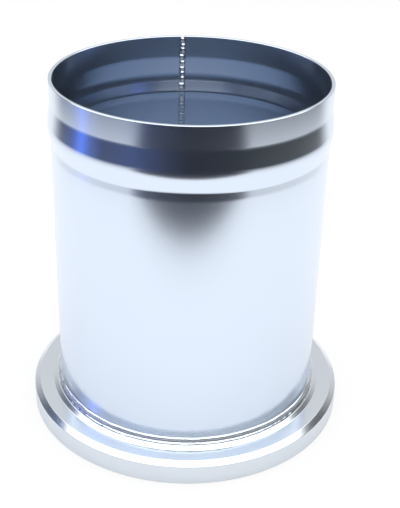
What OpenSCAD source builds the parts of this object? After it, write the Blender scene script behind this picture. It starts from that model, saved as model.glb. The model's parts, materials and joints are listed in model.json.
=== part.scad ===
// Flanged hose coupling: a rolled sheet tube with a retaining bead, welded to a turned flange ring.
// The origin is the centre of the flange's flat underside, and +Z runs up the tube to its open rim.

/* [Tube] */
// Outside diameter of the tube
tube_od = 200; // [120:1:320]
// Thickness of the tube's sheet
wall = 2.5; // [1:0.1:4]
// Height of the coupling from the flange's underside to the open rim
overall_h = 264; // [180:1:400]
// Chamfer on both edges of the open rim
rim_edge = 0.3; // [0.1:0.05:0.45]

/* [Retaining bead] */
// Distance from the open rim down to the crest of the bead
bead_drop = 33.5; // [26:0.5:60]
// How far the crest stands out from the tube
bead_rise = 1.7; // [0.8:0.1:4]
// Height of the sloped flank above the crest
bead_upper = 16.5; // [10:0.5:22]
// Height of the steeper flank below the crest
bead_lower = 11.5; // [8:0.5:20]
// Length of wall on each side of the crest that is rounded
crest_bend = 4; // [1:0.5:5]
// Length of wall on each side of a flank's foot that is rounded
foot_bend = 1.5; // [0.5:0.5:2.5]
// How far the wall is pinched in just under the bead
neck_in = 0.25; // [0.1:0.05:0.6]
// Height over which the pinch fades out below the bead
neck_h = 6; // [4:0.5:15]

/* [Flange ring] */
// Width of the flange ring outside the tube
flange_w = 21.2; // [17:0.2:40]
// Height of the upright rim
rim_h = 15; // [8:0.5:30]
// Width of the sloped clamping face between the rim and the flat top
clamp_face_w = 4.2; // [2:0.2:8]
// Slope of the clamping face and of the hub, in degrees from level
face_slope = 35; // [18:1:50]
// Height that the hub rises above the flat top
hub_rise = 2.2; // [1:0.1:4]
// Width of the hub's top left bare outside the weld
hub_land = 0.5; // [0.2:0.1:3]
// Thickness of the ledge that the tube's end sits on
ledge_h = 4; // [2:0.5:6]
// Gap between the tube and the socket that takes it
socket_gap = 0.15; // [0.05:0.05:0.4]
// Chamfer on the ring's lower edges
ring_edge = 0.6; // [0.2:0.1:1.5]

/* [Flange weld] */
// Width of the weld along the top of the hub
weld_w = 2.7; // [1.5:0.1:5]
// Height of the weld up the tube
weld_h = 4.7; // [3:0.1:8]
// Number of ripples laid round the tube
ripples = 240; // [120:4:320]
// How far each ripple stands above its neighbours
ripple_h = 0.35; // [0.1:0.05:0.6]

/* [Seam weld] */
// Angle of the seam from the back of the tube, towards -X
seam_turn = 5.4; // [0:0.1:90]
// Width of the weld between the edges of the sheet
seam_w = 4.8; // [3:0.1:8]
// Clearance from the drops to the edges of the sheet
drop_margin = 0.2; // [0.1:0.05:0.5]
// How far the drops stand in from the tube's inner wall
drop_proud = 0.9; // [0.3:0.1:1.5]
// Distance from one drop to the next
drop_pitch = 4.6; // [3.6:0.1:9]

/* [Hidden] */
$fn = 120;
// How far a cutting block runs past what it cuts
cut_past = 1;
// Share of the wall's thickness that each drop of the seam weld reaches into
drop_seat = 0.75;

tube_r = tube_od / 2;
bore_r = tube_r - wall;
socket_r = tube_r + socket_gap;
ring_r = tube_r + flange_w;
flat_z = rim_h + clamp_face_w * tan(face_slope);
hub_z = flat_z + hub_rise;
flat_r = ring_r - clamp_face_w;
hub_top_r = tube_r + weld_w + hub_land;
hub_foot_r = hub_top_r + hub_rise / tan(face_slope);
crest_z = overall_h - bead_drop;
bead_foot_z = crest_z - bead_lower;
bead_top_z = crest_z + bead_upper;
neck_z = bead_foot_z - neck_h;
// Shares of the flanks' heights that rounding takes off the sharp corner of the crest
lower_share = crest_bend / 4 / bead_lower;
upper_share = crest_bend / 4 / bead_upper;
// How far that sharp corner stands out from the tube, so that the rounded crest stands out by bead_rise
peak_rise = (bead_rise + neck_in * lower_share) / (1 - lower_share - upper_share);

// Points of a parabola that rounds the corner b between a and c, over the length len along each side
function side_point(b, a, len) = b + (a - b) * len / norm(a - b);
function rounded(a, b, c, len, steps = 4) =
    let (p = side_point(b, a, len), q = side_point(b, c, len))
    [for (i = [0 : steps]) let (t = i / steps) (1 - t) * (1 - t) * p + 2 * t * (1 - t) * b + t * t * q];

// One face of the tube's wall, from the lower end up to z = top, where r is its plain radius
function wall_face(r, low, top) =
    let (a = [r, low], b = [r, neck_z], c = [r - neck_in, bead_foot_z], d = [r + peak_rise, crest_z],
         e = [r, bead_top_z], f = [r, top])
    concat([a], rounded(a, b, c, foot_bend), rounded(b, c, d, foot_bend), rounded(c, d, e, crest_bend),
           rounded(d, e, f, foot_bend), [f]);

// Radius of the tube's inner wall at the height z
function inner_r(z) =
    bore_r + lookup(z, [[neck_z, 0], [bead_foot_z, -neck_in], [crest_z, bead_rise], [bead_top_z, 0]]);

function reversed(list) = [for (i = [len(list) - 1 : -1 : 0]) list[i]];

// The tube as a closed round, before the slit of the seam
module closed_tube() {
    rotate_extrude()
        polygon(concat(
            wall_face(tube_r, ledge_h, overall_h - rim_edge),
            [[tube_r - rim_edge, overall_h], [bore_r + rim_edge, overall_h]],
            reversed(wall_face(bore_r, ledge_h, overall_h - rim_edge))));
}

// The strip that the seam takes out of the wall
module seam_strip() {
    rotate([0, 0, 90 + seam_turn])
        translate([bore_r / 2, -seam_w / 2, ledge_h - cut_past])
            cube([bore_r, seam_w, overall_h]);
}

module hose_tube() {
    color([0.80, 0.84, 0.90])
        difference() {
            closed_tube();
            seam_strip();
        }
}

// One drop of the weld: a ball that stands in from the wall and is cut flat inside it
module drop(z) {
    ball_faces = 24;
    ball_r = seam_w / 2 - drop_margin;
    inner = inner_r(z) - drop_proud;
    intersection() {
        translate([inner + ball_r, 0, z])
            sphere(r = ball_r, $fn = ball_faces);
        translate([inner - cut_past, -seam_w / 2, z - seam_w / 2])
            cube([cut_past + drop_proud + wall * drop_seat, seam_w, seam_w]);
    }
}

module seam_weld() {
    first = ledge_h + seam_w / 2;
    last = overall_h - seam_w / 2;
    color([0.72, 0.76, 0.80])
        union() {
            intersection() {
                closed_tube();
                seam_strip();
            }
            rotate([0, 0, 90 + seam_turn])
                for (z = [last : -drop_pitch : first])
                    drop(z);
        }
}

module flange_ring() {
    color([0.78, 0.82, 0.87])
        rotate_extrude()
            polygon([
                [bore_r + ring_edge, 0],
                [ring_r - ring_edge, 0],
                [ring_r, ring_edge],
                [ring_r, rim_h],
                [flat_r, flat_z],
                [hub_foot_r, flat_z],
                [hub_top_r, hub_z],
                [socket_r, hub_z],
                [socket_r, ledge_h],
                [bore_r, ledge_h],
                [bore_r, ring_edge]]);
}

// Section of the weld as shares of its width and height, from its inner foot round to its top
weld_section = [[0, 0], [1, 0], [0.88, 0.14], [0.48, 0.33], [0.56, 0.52], [0.42, 0.76], [0, 1]];

module flange_weld() {
    steps = 2;
    turns = round(ripples) * steps;
    side = len(weld_section);
    // The flat facets touch the round tube at their middles
    inner = tube_r / cos(180 / turns);
    function lift(i) = ripple_h * (i % steps == 0 ? 0 : 1);
    points = [for (i = [0 : turns - 1]) let (a = i * 360 / turns) for (k = [0 : side - 1])
        let (s = weld_section[k],
             out = s[0] * weld_w + (k > 1 && k < side - 1 ? lift(i) : 0),
             r = inner + out)
        [r * cos(a), r * sin(a), hub_z + s[1] * weld_h]];
    faces = [for (i = [0 : turns - 1]) let (j = (i + 1) % turns) for (k = [0 : side - 1])
        let (m = (k + 1) % side) each [
            [i * side + k, i * side + m, j * side + m],
            [i * side + k, j * side + m, j * side + k]]];
    color([0.86, 0.88, 0.90])
        polyhedron(points, faces);
}

hose_tube();
seam_weld();
flange_ring();
flange_weld();
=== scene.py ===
# %% [markdown]
# # Flanged hose coupling
# A short duct piece: a rolled and welded sheet tube stands in a turned flange ring, and all of it is
# zinc plated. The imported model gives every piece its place, so this lesson starts by loading it. The
# visual pieces are then modelled round the same axis, and each replaces the plain node that it stands for.

# %% Load the frame
import json
import math
import random

import bmesh
import bpy
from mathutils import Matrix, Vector


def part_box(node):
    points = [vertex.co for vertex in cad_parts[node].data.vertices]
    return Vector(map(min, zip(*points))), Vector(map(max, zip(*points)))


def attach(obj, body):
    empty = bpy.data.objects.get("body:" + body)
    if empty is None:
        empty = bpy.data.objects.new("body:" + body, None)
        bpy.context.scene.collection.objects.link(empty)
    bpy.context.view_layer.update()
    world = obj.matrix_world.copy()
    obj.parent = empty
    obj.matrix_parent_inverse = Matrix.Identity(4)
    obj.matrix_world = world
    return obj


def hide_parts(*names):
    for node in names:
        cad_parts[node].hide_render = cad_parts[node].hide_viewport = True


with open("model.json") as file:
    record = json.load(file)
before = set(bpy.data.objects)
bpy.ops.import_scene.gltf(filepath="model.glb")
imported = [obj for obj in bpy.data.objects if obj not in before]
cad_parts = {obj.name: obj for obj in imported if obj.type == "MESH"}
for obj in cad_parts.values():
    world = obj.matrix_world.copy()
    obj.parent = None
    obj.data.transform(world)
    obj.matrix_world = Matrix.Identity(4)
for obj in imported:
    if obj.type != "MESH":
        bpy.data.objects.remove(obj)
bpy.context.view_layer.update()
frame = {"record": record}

# %% [markdown]
# The sizes come from the frame where it holds them: the mounts give the radii of the tube and of the rim,
# and the nodes' boxes give the heights. The rest are the thicknesses and slopes of the real pieces, in
# millimetres, turned into metres here once.

# %% Sizes
mm = 0.001
mounts = {mount["name"]: mount for mount in frame["record"]["mounts"]}
tube_r = mounts["hose_spigot"]["dims"]["r_mm"] * mm
ring_r = mounts["clamp_rim"]["dims"]["r_mm"] * mm
tube_low, tube_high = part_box("hose_tube")
ring_low, ring_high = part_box("flange_ring")
weld_low, weld_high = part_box("flange_weld")
ledge_z, rim_z = tube_low.z, tube_high.z
hub_z, weld_top_z = ring_high.z, weld_high.z

wall = 2.5 * mm
bore_r = tube_r - wall
crest_z = rim_z - 33.5 * mm
bead_top_z = crest_z + 16.5 * mm
bead_foot_z = crest_z - 11.5 * mm
neck_z = bead_foot_z - 6 * mm
neck_in = 0.25 * mm
rim_h = 15 * mm
flat_r = ring_r - 4.2 * mm
flat_z = hub_z - 2.2 * mm
hub_top_r = tube_r + 3.2 * mm
hub_foot_r = 106.34 * mm
socket_r = tube_r + 0.15 * mm
print("tube radius", round(tube_r, 4), "ring radius", round(ring_r, 4), "rim height", round(rim_z, 4))

# %% [markdown]
# The camera comes first, because every later choice is judged through it. It stands a little over half a
# metre in front of the coupling at nearly twice its height, looks down by 28 degrees and is
# tipped very slightly, as a hand-held camera is. The Z turn is applied first, so it rolls the picture.

# %% Camera
camera_pitch = math.radians(28.034)
camera_roll = math.radians(1.602)
bpy.ops.object.camera_add(location=(0.00908, -0.67706, 0.48300))
camera = bpy.context.object
camera.name = "camera"
camera.rotation_mode = "ZYX"
camera.rotation_euler = (math.pi / 2 - camera_pitch, 0, camera_roll)
camera.data.sensor_width = 36
camera.data.lens = 70.97
camera.data.dof.use_dof = False
bpy.context.scene.camera = camera
print("camera", tuple(camera.location), "lens", camera.data.lens)

# %% [markdown]
# Round pieces are drawn the way a lathe works: half of the section is traced as an outline in the XZ plane,
# one extruded point after another, and then spun round the Z axis. The trace starts from a small
# plane that is merged to a single point.

# %% Trace an outline and spin it
round_steps = 480


def trace(name, points, closed=True):
    bpy.ops.object.select_all(action="DESELECT")
    bpy.ops.mesh.primitive_plane_add(size=mm, location=(points[0][0], 0, points[0][1]))
    piece = bpy.context.object
    piece.name = piece.data.name = name
    bpy.ops.object.transform_apply(location=True, rotation=True, scale=True)
    bpy.ops.object.mode_set(mode="EDIT")
    bpy.ops.mesh.select_all(action="SELECT")
    bpy.ops.mesh.merge(type="CENTER")
    for (r, z), (next_r, next_z) in zip(points, points[1:]):
        bpy.ops.mesh.extrude_region_move(TRANSFORM_OT_translate={"value": (next_r - r, 0, next_z - z)})
    if closed:
        mesh = bmesh.from_edit_mesh(piece.data)
        mesh.verts.ensure_lookup_table()
        for vert in mesh.verts:
            vert.select_set(vert.index in (0, len(points) - 1))
        bmesh.update_edit_mesh(piece.data)
        bpy.ops.mesh.edge_face_add()
    return piece


def spin(piece, start=0.0, turn=2 * math.pi, steps=round_steps):
    bpy.ops.mesh.select_all(action="SELECT")
    if start:
        bpy.ops.transform.rotate(value=-start, orient_axis="Z", center_override=(0, 0, 0))
    bpy.ops.mesh.spin(steps=steps, angle=turn, center=(0, 0, 0), axis=(0, 0, 1), use_auto_merge=True)
    bpy.ops.mesh.select_all(action="SELECT")
    bpy.ops.mesh.remove_doubles(threshold=0.0001 * mm)
    bpy.ops.mesh.normals_make_consistent(inside=False)


# %% [markdown]
# Corners are rounded after the spin. A corner is a ring of edges, so it is selected by its radius and its
# height and then bevelled. Sharp corners are kept from shading wrongly by weighting the normals: the
# big flat faces keep their true direction and only the small bevels bend the light.

# %% Round a ring and finish a piece
def select_ring(piece, r, z, near=0.02 * mm):
    mesh = bmesh.from_edit_mesh(piece.data)
    bpy.ops.mesh.select_all(action="DESELECT")
    for edge in mesh.edges:
        on_ring = all(abs(v.co.xy.length - r) < near and abs(v.co.z - z) < near for v in edge.verts)
        if on_ring:
            edge.select_set(True)
    bmesh.update_edit_mesh(piece.data)
    return sum(edge.select for edge in mesh.edges)


def round_ring(piece, r, z, size, segments):
    count = select_ring(piece, r, z)
    bpy.ops.mesh.bevel(offset=size, segments=segments, profile=0.5, affect="EDGES")
    return count


def finish_piece(piece, angle=30, weighted=True):
    bpy.ops.object.mode_set(mode="OBJECT")
    bpy.ops.object.shade_smooth_by_angle(angle=math.radians(angle))
    if weighted:
        bpy.ops.object.modifier_add(type="WEIGHTED_NORMAL")
        piece.modifiers[-1].keep_sharp = True
        bpy.ops.object.modifier_apply(modifier=piece.modifiers[-1].name)
    print(piece.name, "triangles", sum(len(p.vertices) - 2 for p in piece.data.polygons))


def stand_for(piece, node, material):
    piece.data.materials.clear()
    piece.data.materials.append(material)
    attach(piece, "root")
    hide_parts(node)


# %% [markdown]
# The flange ring is one turned piece. From outside in, it has an upright rim, a sloped face that a clamp
# ring grips, a flat top and a short sloped hub. Its sharp corners are only broken by a
# file, so the bevels are a fifth of a millimetre and show as thin bright lines.

# %% Turned flange ring
ring_edge = 0.6 * mm
broken_edge = 0.2 * mm
ring = trace("turned_ring", [
    (bore_r + ring_edge, 0), (ring_r - ring_edge, 0), (ring_r, ring_edge), (ring_r, rim_h), (flat_r, flat_z),
    (hub_foot_r, flat_z), (hub_top_r, hub_z), (socket_r, hub_z), (socket_r, ledge_z), (bore_r, ledge_z),
    (bore_r, ring_edge)])
spin(ring)
for r, z in [(ring_r, rim_h), (flat_r, flat_z), (hub_foot_r, flat_z), (hub_top_r, hub_z)]:
    print("edges rounded", round_ring(ring, r, z, broken_edge, 2))
finish_piece(ring)

# %% [markdown]
# The tube is a sheet rolled to a round, with a shallow bead pushed out near its open end. Its section is
# a closed strip as thick as the sheet, spun almost all the way round: the gap that is left is the
# seam. The bead's crest is rounded widely and its feet tightly, which is what makes the light break there.

# %% Rolled tube
rim_edge = 0.3 * mm
crest_bend = 4 * mm
foot_bend = 1.2 * mm
peak_rise = (tube_high.x - tube_r) * 1.2
seam_w = 4.8 * mm
seam_turn = math.radians(5.4)
seam_gap = 2 * math.asin(seam_w / 2 / tube_r)


def wall_face(r, low, high):
    return [(r, low), (r, neck_z), (r - neck_in, bead_foot_z), (r + peak_rise, crest_z), (r, bead_top_z), (r, high)]


tube_outline = (wall_face(tube_r, ledge_z, rim_z - rim_edge)
                + [(tube_r - rim_edge, rim_z), (bore_r + rim_edge, rim_z)]
                + wall_face(bore_r, ledge_z, rim_z - rim_edge)[::-1])
tube = trace("rolled_tube", tube_outline)
seam_middle = math.pi / 2 + seam_turn
spin(tube, start=seam_middle - seam_gap / 2, turn=2 * math.pi - seam_gap)
for r in (tube_r, bore_r):
    round_ring(tube, r + peak_rise, crest_z, crest_bend, 10)
    round_ring(tube, r, bead_top_z, foot_bend, 3)
    round_ring(tube, r - neck_in, bead_foot_z, foot_bend, 3)
    round_ring(tube, r, neck_z, foot_bend, 3)
bpy.ops.mesh.select_all(action="SELECT")
bpy.ops.mesh.fill_holes(sides=0)
bpy.ops.mesh.normals_make_consistent(inside=False)
finish_piece(tube)

# %% [markdown]
# The seam is closed by a butt weld. Outside it is ground flush, and inside it is left as it was laid: a
# line of drops, big near the open end and low further down. The strip between the sheet's edges is
# spun from the tube's own section, the drops are copies of one squashed ball, and a voxel
# remesh melts them all into one skin, as molten metal runs together.

# %% Seam weld
random.seed(7)
voxel = 0.4 * mm
seam = trace("seam_bead", tube_outline)
spin(seam, start=seam_middle + seam_gap / 2, turn=seam_gap, steps=8)
bpy.ops.mesh.select_all(action="SELECT")
bpy.ops.mesh.fill_holes(sides=0)
bpy.ops.mesh.normals_make_consistent(inside=False)
bpy.ops.object.mode_set(mode="OBJECT")

bpy.ops.object.select_all(action="DESELECT")
bpy.ops.mesh.primitive_uv_sphere_add(segments=12, ring_count=8, radius=1)
first_drop = bpy.context.object
bpy.ops.object.mode_set(mode="EDIT")
bpy.ops.transform.vertex_random(offset=0.12, seed=3)
bpy.ops.object.mode_set(mode="OBJECT")


def place_drop(z, sideways, width, height, proud):
    drop = first_drop.copy()
    drop.data = first_drop.data.copy()
    bpy.context.collection.objects.link(drop)
    angle = seam_middle + sideways * mm / bore_r
    face_r = bore_r - proud * mm + height * mm * 0.5
    drop.location = (face_r * math.cos(angle), face_r * math.sin(angle), z)
    drop.rotation_euler = (0, random.uniform(-0.4, 0.4), angle)
    drop.scale = (height * mm * 0.5, width * mm * 0.5, width * mm * random.uniform(0.4, 0.6))
    return drop


drops = []
lumpy_z = rim_z - 42 * mm
z = rim_z - 3 * mm
while z > ledge_z + 4 * mm:
    big = z > lumpy_z
    width = random.uniform(3.4, 4.6) if big else random.uniform(1.8, 3.2)
    proud = random.uniform(0.9, 1.5) if big else random.uniform(0.25, 0.6)
    drops.append(place_drop(z, random.uniform(-0.5, 0.5), width, 2.6, proud))
    z -= random.uniform(3.2, 6.4) * mm if big else random.uniform(1.8, 3.6) * mm
bpy.data.objects.remove(first_drop)

bpy.ops.object.select_all(action="DESELECT")
for drop in drops:
    drop.select_set(True)
seam.select_set(True)
bpy.context.view_layer.objects.active = seam
bpy.ops.object.join()
bpy.ops.object.modifier_add(type="REMESH")
seam.modifiers[-1].mode = "VOXEL"
seam.modifiers[-1].voxel_size = voxel
bpy.ops.object.modifier_apply(modifier=seam.modifiers[-1].name)
print("drops", len(drops), "skin faces", len(seam.data.polygons))
bpy.ops.object.mode_set(mode="EDIT")
finish_piece(seam, angle=60, weighted=False)

# %% [markdown]
# The flange weld was laid in one pass with a torch that was dipped hundreds of times, so its surface is a
# row of fine ripples. Its section has a thin toe on the hub, a crease, and a fat bulge against the
# tube. The section is spun with five steps to each ripple, and then whole families of
# points are scaled outwards together: every ripple is one family's crest.

# %% Flange weld
ripples = 264
ripple_steps = 5
ripple_lift = [0.0, 0.10, 0.26, 0.38, 0.22]
weld_w = 2.7 * mm
weld_h = weld_top_z - hub_z
weld_section = [(0, 0), (1, 0), (0.95, 0.09), (0.82, 0.16), (0.64, 0.22), (0.51, 0.29), (0.46, 0.36), (0.52, 0.44),
                (0.57, 0.54), (0.55, 0.66), (0.47, 0.79), (0.30, 0.92), (0, 1)]
weld = trace("rippled_weld", [(tube_r + w * weld_w, hub_z + h * weld_h) for w, h in weld_section])
spin(weld, steps=ripples * ripple_steps)


def select_points(piece, test):
    mesh = bmesh.from_edit_mesh(piece.data)
    bpy.ops.mesh.select_all(action="DESELECT")
    for vert in mesh.verts:
        vert.select_set(test(vert.co))
    mesh.select_flush_mode()
    bmesh.update_edit_mesh(piece.data)
    return sum(vert.select for vert in mesh.verts)


def ripple_phase(point):
    turn = math.atan2(point.y, point.x) / (2 * math.pi) * ripples
    return round((turn % 1) * ripple_steps) % ripple_steps


bulge_low = hub_z + 0.40 * weld_h
bulge_top = hub_z + 0.95 * weld_h
for phase, lift in enumerate(ripple_lift):
    if lift:
        crest = lambda p: ripple_phase(p) == phase and bulge_low < p.z < bulge_top and p.xy.length > tube_r + 0.2 * mm
        print("ripple phase", phase, "points", select_points(weld, crest))
        stretch = 1 + lift * mm / tube_r
        bpy.ops.transform.resize(value=(stretch, stretch, 1), center_override=(0, 0, 0))

select_points(weld, lambda p: p.xy.length > tube_r + 0.2 * mm and p.z > hub_z + 0.1 * mm)
bpy.ops.object.vertex_group_add()
bpy.ops.object.vertex_group_assign()
bpy.ops.object.mode_set(mode="OBJECT")
for name, size, strength in [("slow_wander", 9 * mm, 0.9 * mm), ("fine_lumps", 1.6 * mm, 0.25 * mm)]:
    lumps = bpy.data.textures.new(name, "CLOUDS")
    lumps.noise_scale = size
    bpy.ops.object.modifier_add(type="DISPLACE")
    displace = weld.modifiers[-1]
    displace.texture = lumps
    displace.strength = strength
    displace.mid_level = 0.5
    displace.vertex_group = weld.vertex_groups[0].name
    bpy.ops.object.modifier_apply(modifier=displace.name)
bpy.ops.object.mode_set(mode="EDIT")
finish_piece(weld, angle=70, weighted=False)

# %% [markdown]
# Shader maths is easier to read as an expression than as a web of nodes. This small class wraps the output
# of a node, so that adding or multiplying two wires makes the Math node that does it. One more
# method makes any other node from its settings and the values or wires of its sockets.

# %% Shader wires
class Wire:
    tree = None

    def __init__(self, socket):
        self.socket = socket

    @staticmethod
    def node(kind, settings=None, sockets=None, out=0):
        made = Wire.tree.nodes.new(kind)
        for key, value in (settings or {}).items():
            if key == "stops":
                fill_ramp(made.color_ramp, value)
            else:
                setattr(made, key, value)
        for key, value in (sockets or {}).items():
            if isinstance(value, Wire):
                Wire.tree.links.new(value.socket, made.inputs[key])
            else:
                made.inputs[key].default_value = value
        return Wire(made.outputs[out])

    def math(self, operation, *others):
        return Wire.node("ShaderNodeMath", {"operation": operation}, dict(enumerate((self, *others))))

    def __add__(self, other):
        return self.math("ADD", other)

    def __mul__(self, other):
        return self.math("MULTIPLY", other)

    def __sub__(self, other):
        return self.math("SUBTRACT", other)

    def __rsub__(self, other):
        return Wire.node("ShaderNodeMath", {"operation": "SUBTRACT"}, {0: other, 1: self})

    def __truediv__(self, other):
        return self.math("DIVIDE", other)

    __radd__ = __add__
    __rmul__ = __mul__


def fill_ramp(ramp, stops):
    while len(ramp.elements) > 1:
        ramp.elements.remove(ramp.elements[-1])
    for index, (position, colour) in enumerate(stops):
        stop = ramp.elements[0] if index == 0 else ramp.elements.new(position)
        stop.position = position
        stop.color = (*colour, 1)


def ease(value, start, end):
    return Wire.node("ShaderNodeMapRange", {"interpolation_type": "SMOOTHSTEP"},
                     {"Value": value, "From Min": start, "From Max": end})


def tint(factor, colour, other, how="MIX"):
    colour, other = [(*c, 1) if isinstance(c, tuple) else c for c in (colour, other)]
    return Wire.node("ShaderNodeMix", {"data_type": "RGBA", "blend_type": how}, {0: factor, 6: colour, 7: other}, out=2)


def noise(vector, scale, detail=2.0, roughness=0.5, out=0):
    return Wire.node("ShaderNodeTexNoise", None,
                     {"Vector": vector, "Scale": scale, "Detail": detail, "Roughness": roughness}, out=out)


def new_material(name):
    material = bpy.data.materials.new(name)
    material.use_nodes = True
    Wire.tree = material.node_tree
    material.node_tree.nodes.clear()
    return material


def place():
    where = Wire.node("ShaderNodeTexCoord", out=3)
    split = Wire.node("ShaderNodeSeparateXYZ", None, {0: where})
    axes = [Wire(socket) for socket in split.socket.node.outputs]
    return where, *axes


def show(shader):
    output = Wire.tree.nodes.new("ShaderNodeOutputMaterial")
    Wire.tree.links.new(shader.socket, output.inputs["Surface"])


# %% Test materials
def plain(name, colour, rough):
    m = bpy.data.materials.new(name); m.use_nodes = True
    b = m.node_tree.nodes["Principled BSDF"]
    b.inputs["Base Color"].default_value = (*colour, 1); b.inputs["Metallic"].default_value = 1
    b.inputs["Roughness"].default_value = rough
    return m
sheet = plain("sheet", (0.72, 0.80, 0.92), 0.18)
turned = plain("turned", (0.75, 0.80, 0.86), 0.18)
stand_for(ring, "flange_ring", turned)
stand_for(tube, "hose_tube", sheet)
stand_for(seam, "seam_weld", turned)
stand_for(weld, "flange_weld", turned)

# %% [markdown]
# Polished metal is mostly a picture of the room, so the studio matters as much as the material. The part
# stands on a plain white floor under one very wide soft light, and the world is plain white. Seen by the
# camera the floor is white with a faint shadow.

# %% Floor, world and soft light
scene = bpy.context.scene
scene.view_settings.view_transform = "Standard"

bpy.ops.object.select_all(action="DESELECT")
bpy.ops.mesh.primitive_plane_add(size=12)
floor = bpy.context.object
floor.name = "floor"
floor_paint = new_material("floor_paint")
seen_directly = Wire.node("ShaderNodeLightPath")
plain_floor = Wire.node("ShaderNodeBsdfDiffuse", None, {"Color": (0.72, 0.72, 0.72, 1)})
white_floor = Wire.node("ShaderNodeEmission", None, {"Color": (1, 1, 1, 1), "Strength": 1.02})
show(Wire.node("ShaderNodeMixShader", None, {0: seen_directly * 0.75, 1: plain_floor, 2: white_floor}))
floor.data.materials.append(floor_paint)

world = bpy.data.worlds.new("studio")
scene.world = world
world.use_nodes = True
Wire.tree = world.node_tree
world.node_tree.nodes.clear()
to_camera = Wire.node("ShaderNodeLightPath")
sky = Wire.node("ShaderNodeBackground", None, {"Color": (1, 1, 1, 1), "Strength": to_camera * 0.24 + 0.76})
world_out = world.node_tree.nodes.new("ShaderNodeOutputWorld")
world.node_tree.links.new(sky.socket, world_out.inputs["Surface"])

softbox_size = (4.4, 3.8)
softbox_white = 1.25
bpy.ops.object.light_add(type="AREA", location=(0, -0.5, 1.65))
softbox = bpy.context.object
softbox.name = "softbox"
softbox.data.shape = "RECTANGLE"
softbox.data.size, softbox.data.size_y = softbox_size
softbox.data.energy = softbox_white * math.pi * softbox_size[0] * softbox_size[1]
softbox.visible_camera = False
print("softbox watts", round(softbox.data.energy, 1))

# %% [markdown]
# White all round would leave the metal flat. Product photographers stand dark cards just out of view, so
# that the curves draw dark bands beside the white ones. One card lies on the floor in front, and a
# curved one stands round the front and the sides, with a strip of blue on the left. The camera and the soft
# light don't see the cards. Only reflections do.

# %% Dark cards
def card(piece, material):
    piece.data.materials.append(material)
    piece.visible_camera = False
    piece.visible_diffuse = False
    piece.visible_shadow = False


front_edge = 0.457
bpy.ops.object.select_all(action="DESELECT")
bpy.ops.mesh.primitive_plane_add(size=1, location=(0.02, -front_edge - 0.5, 0.002))
front_card = bpy.context.object
front_card.name = "front_card"
front_card.scale = (0.92, 1.0, 1)
bpy.ops.object.transform_apply(location=True, rotation=True, scale=True)
black_card = new_material("black_card")
show(Wire.node("ShaderNodeEmission", None, {"Color": (0.030, 0.032, 0.045, 1), "Strength": 1.0}))
card(front_card, black_card)

surround_r = 1.3
surround_top = 1.0
surround = trace("dark_surround", [(0.45, 0.003), (surround_r, 0.003), (surround_r, surround_top)], closed=False)
spin(surround, start=-math.pi / 2 + math.radians(140), turn=math.radians(280), steps=140)
bpy.ops.object.mode_set(mode="OBJECT")
surround_paint = new_material("surround_paint")
_, x, y, z = place()
azimuth = x.math("ARCTAN2", y * -1) * (180 / math.pi)
distance = (x * x + y * y).math("SQRT")
colours = Wire.node("ShaderNodeValToRGB", {"stops": [
    (0.0, (0.14, 0.13, 0.15)), (0.10, (0.10, 0.12, 0.16)), (0.155, (0.09, 0.13, 0.36)), (0.185, (0.17, 0.34, 1.25)),
    (0.215, (0.11, 0.17, 0.42)), (0.26, (0.065, 0.08, 0.15)), (0.35, (0.07, 0.10, 0.22)), (0.44, (0.045, 0.055, 0.09)),
    (0.50, (0.026, 0.029, 0.040)), (0.65, (0.036, 0.040, 0.045)), (0.80, (0.065, 0.068, 0.070)),
    (0.93, (0.14, 0.14, 0.14)), (1.0, (0.20, 0.19, 0.18))]}, {0: azimuth / 280 + 0.5})
solid = ease(distance, 0.5, 0.95) * ease(azimuth.math("ABSOLUTE"), 137, 112)
painted = Wire.node("ShaderNodeEmission", None, {"Color": colours})
clear = Wire.node("ShaderNodeBsdfTransparent")
show(Wire.node("ShaderNodeMixShader", None, {0: solid, 1: clear, 2: painted}))
card(surround, surround_paint)
